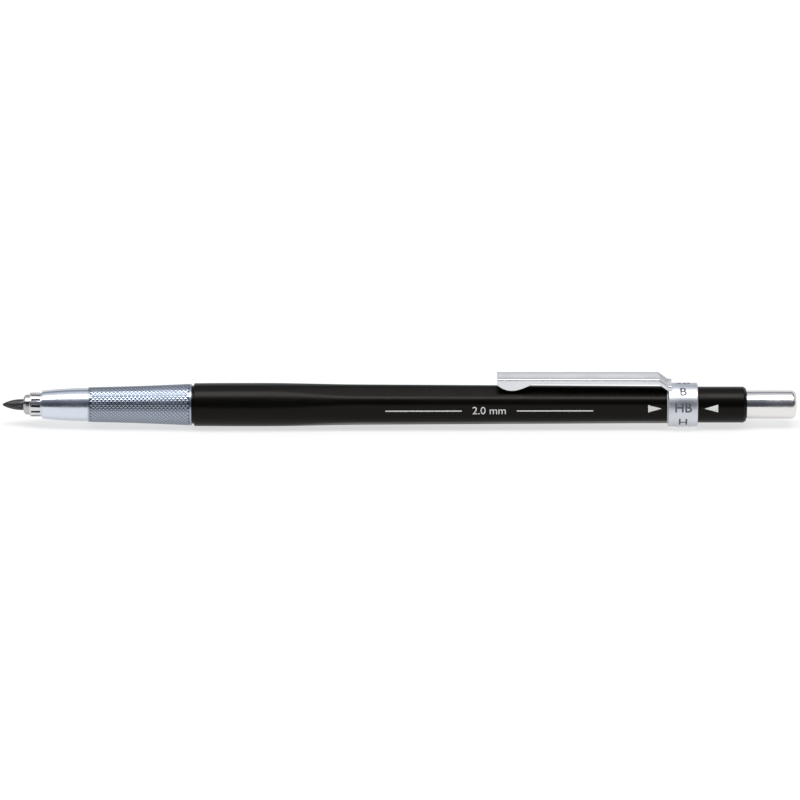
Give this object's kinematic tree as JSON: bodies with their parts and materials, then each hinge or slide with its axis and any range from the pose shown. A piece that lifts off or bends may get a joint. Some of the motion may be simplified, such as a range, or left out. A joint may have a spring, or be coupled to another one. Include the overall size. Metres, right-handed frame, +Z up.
{
  "type": "mechanical pencil",
  "caption": "Clutch pencil for 2 mm leads, with a knurled metal grip, a soft six-sided barrel, a pocket clip on a turning grade ring and a push button.",
  "frame": {"origin": "bottom centre of the whole holder's box, with the lead at its rest length, the barrel level and the clip on top", "axes": "+X along the holder from the lead to the push button, +Z up through the clip, +Y across"},
  "size_m": [0.1454, 0.008, 0.0097],
  "materials": {
    "lead": "fired graphite and clay, dull grey with a slight metallic sheen",
    "jaws": "nickel-plated brass, satin",
    "nose_steel": "turned steel with straight flutes, nickel-plated",
    "grip_metal": "matte chrome on brass, fine diamond knurl behind a smooth polished cone",
    "barrel_black": "polished black plastic",
    "ring_metal": "nickel-plated, circumferential brushing, engraved marks filled dark",
    "clip_metal": "nickel-plated spring steel",
    "button_chrome": "bright chrome",
    "inner_brass": "turned brass",
    "spring_steel": "drawn spring wire",
    "washer_nylon": "black nylon",
    "pointer_plastic": "black moulded plastic",
    "blade_steel": "ground steel"
  },
  "bodies": {
    "barrel": {"barrel": "barrel_black", "grip_sleeve": "grip_metal", "nose_bush": "nose_steel", "thread_bush": "inner_brass", "rear_plug": "barrel_black", "index_washer": "washer_nylon", "return_spring": "spring_steel"},
    "plunger": {"lead_tube": "inner_brass", "collet_body": "inner_brass", "spring_collar": "inner_brass", "button_ferrule": "inner_brass"},
    "jaw_1": {"jaw_1": "jaws"},
    "jaw_2": {"jaw_2": "jaws"},
    "jaw_3": {"jaw_3": "jaws"},
    "lead": {"lead": "lead"},
    "selector": {"grade_ring": "ring_metal"},
    "clip": {"clip": "clip_metal"},
    "cap": {"button_cap": "button_chrome", "pointer_insert": "pointer_plastic", "pointer_blades": "blade_steel"}
  },
  "joints": [
    {"name": "button_press", "type": "slide", "parent": "barrel", "child": "plunger", "axis": [-1, 0, 0], "range_m": [0, 0.0035], "stiffness_N_per_m": 1200, "springref_m": -0.0035, "deforming": ["return_spring"]},
    {"name": "jaw_1_open", "type": "hinge", "parent": "plunger", "child": "jaw_1", "pos_m": [-0.05285, 0, 0.00547], "axis": [0, 1, 0], "range_deg": [0, 1.25]},
    {"name": "jaw_2_open", "type": "hinge", "parent": "plunger", "child": "jaw_2", "pos_m": [-0.05285, 0.00126, 0.0033], "axis": [0, -0.5, -0.866], "range_deg": [0, 1.25]},
    {"name": "jaw_3_open", "type": "hinge", "parent": "plunger", "child": "jaw_3", "pos_m": [-0.05285, -0.00126, 0.0033], "axis": [0, -0.5, 0.866], "range_deg": [0, 1.25]},
    {"name": "lead_feed", "type": "slide", "parent": "plunger", "child": "lead", "axis": [-1, 0, 0], "range_m": [-0.004, 0.12]},
    {"name": "ring_turn", "type": "hinge", "parent": "barrel", "child": "selector", "pos_m": [0.05171, 0, 0.00402], "axis": [1, 0, 0], "continuous": true},
    {"name": "clip_flex", "type": "hinge", "parent": "selector", "child": "clip", "pos_m": [0.04967, 0, 0.00807], "axis": [0, 1, 0], "range_deg": [0, 3], "stiffness_Nm_per_rad": 1.5},
    {"name": "cap_pull", "type": "slide", "parent": "plunger", "child": "cap", "axis": [1, 0, 0], "range_m": [0, 0.012]}
  ],
  "couplings": [
    {"joint": "jaw_1_open", "follows": "button_press", "rad_per_m": 5.984},
    {"joint": "jaw_2_open", "follows": "button_press", "rad_per_m": 5.984},
    {"joint": "jaw_3_open", "follows": "button_press", "rad_per_m": 5.984}
  ]
}
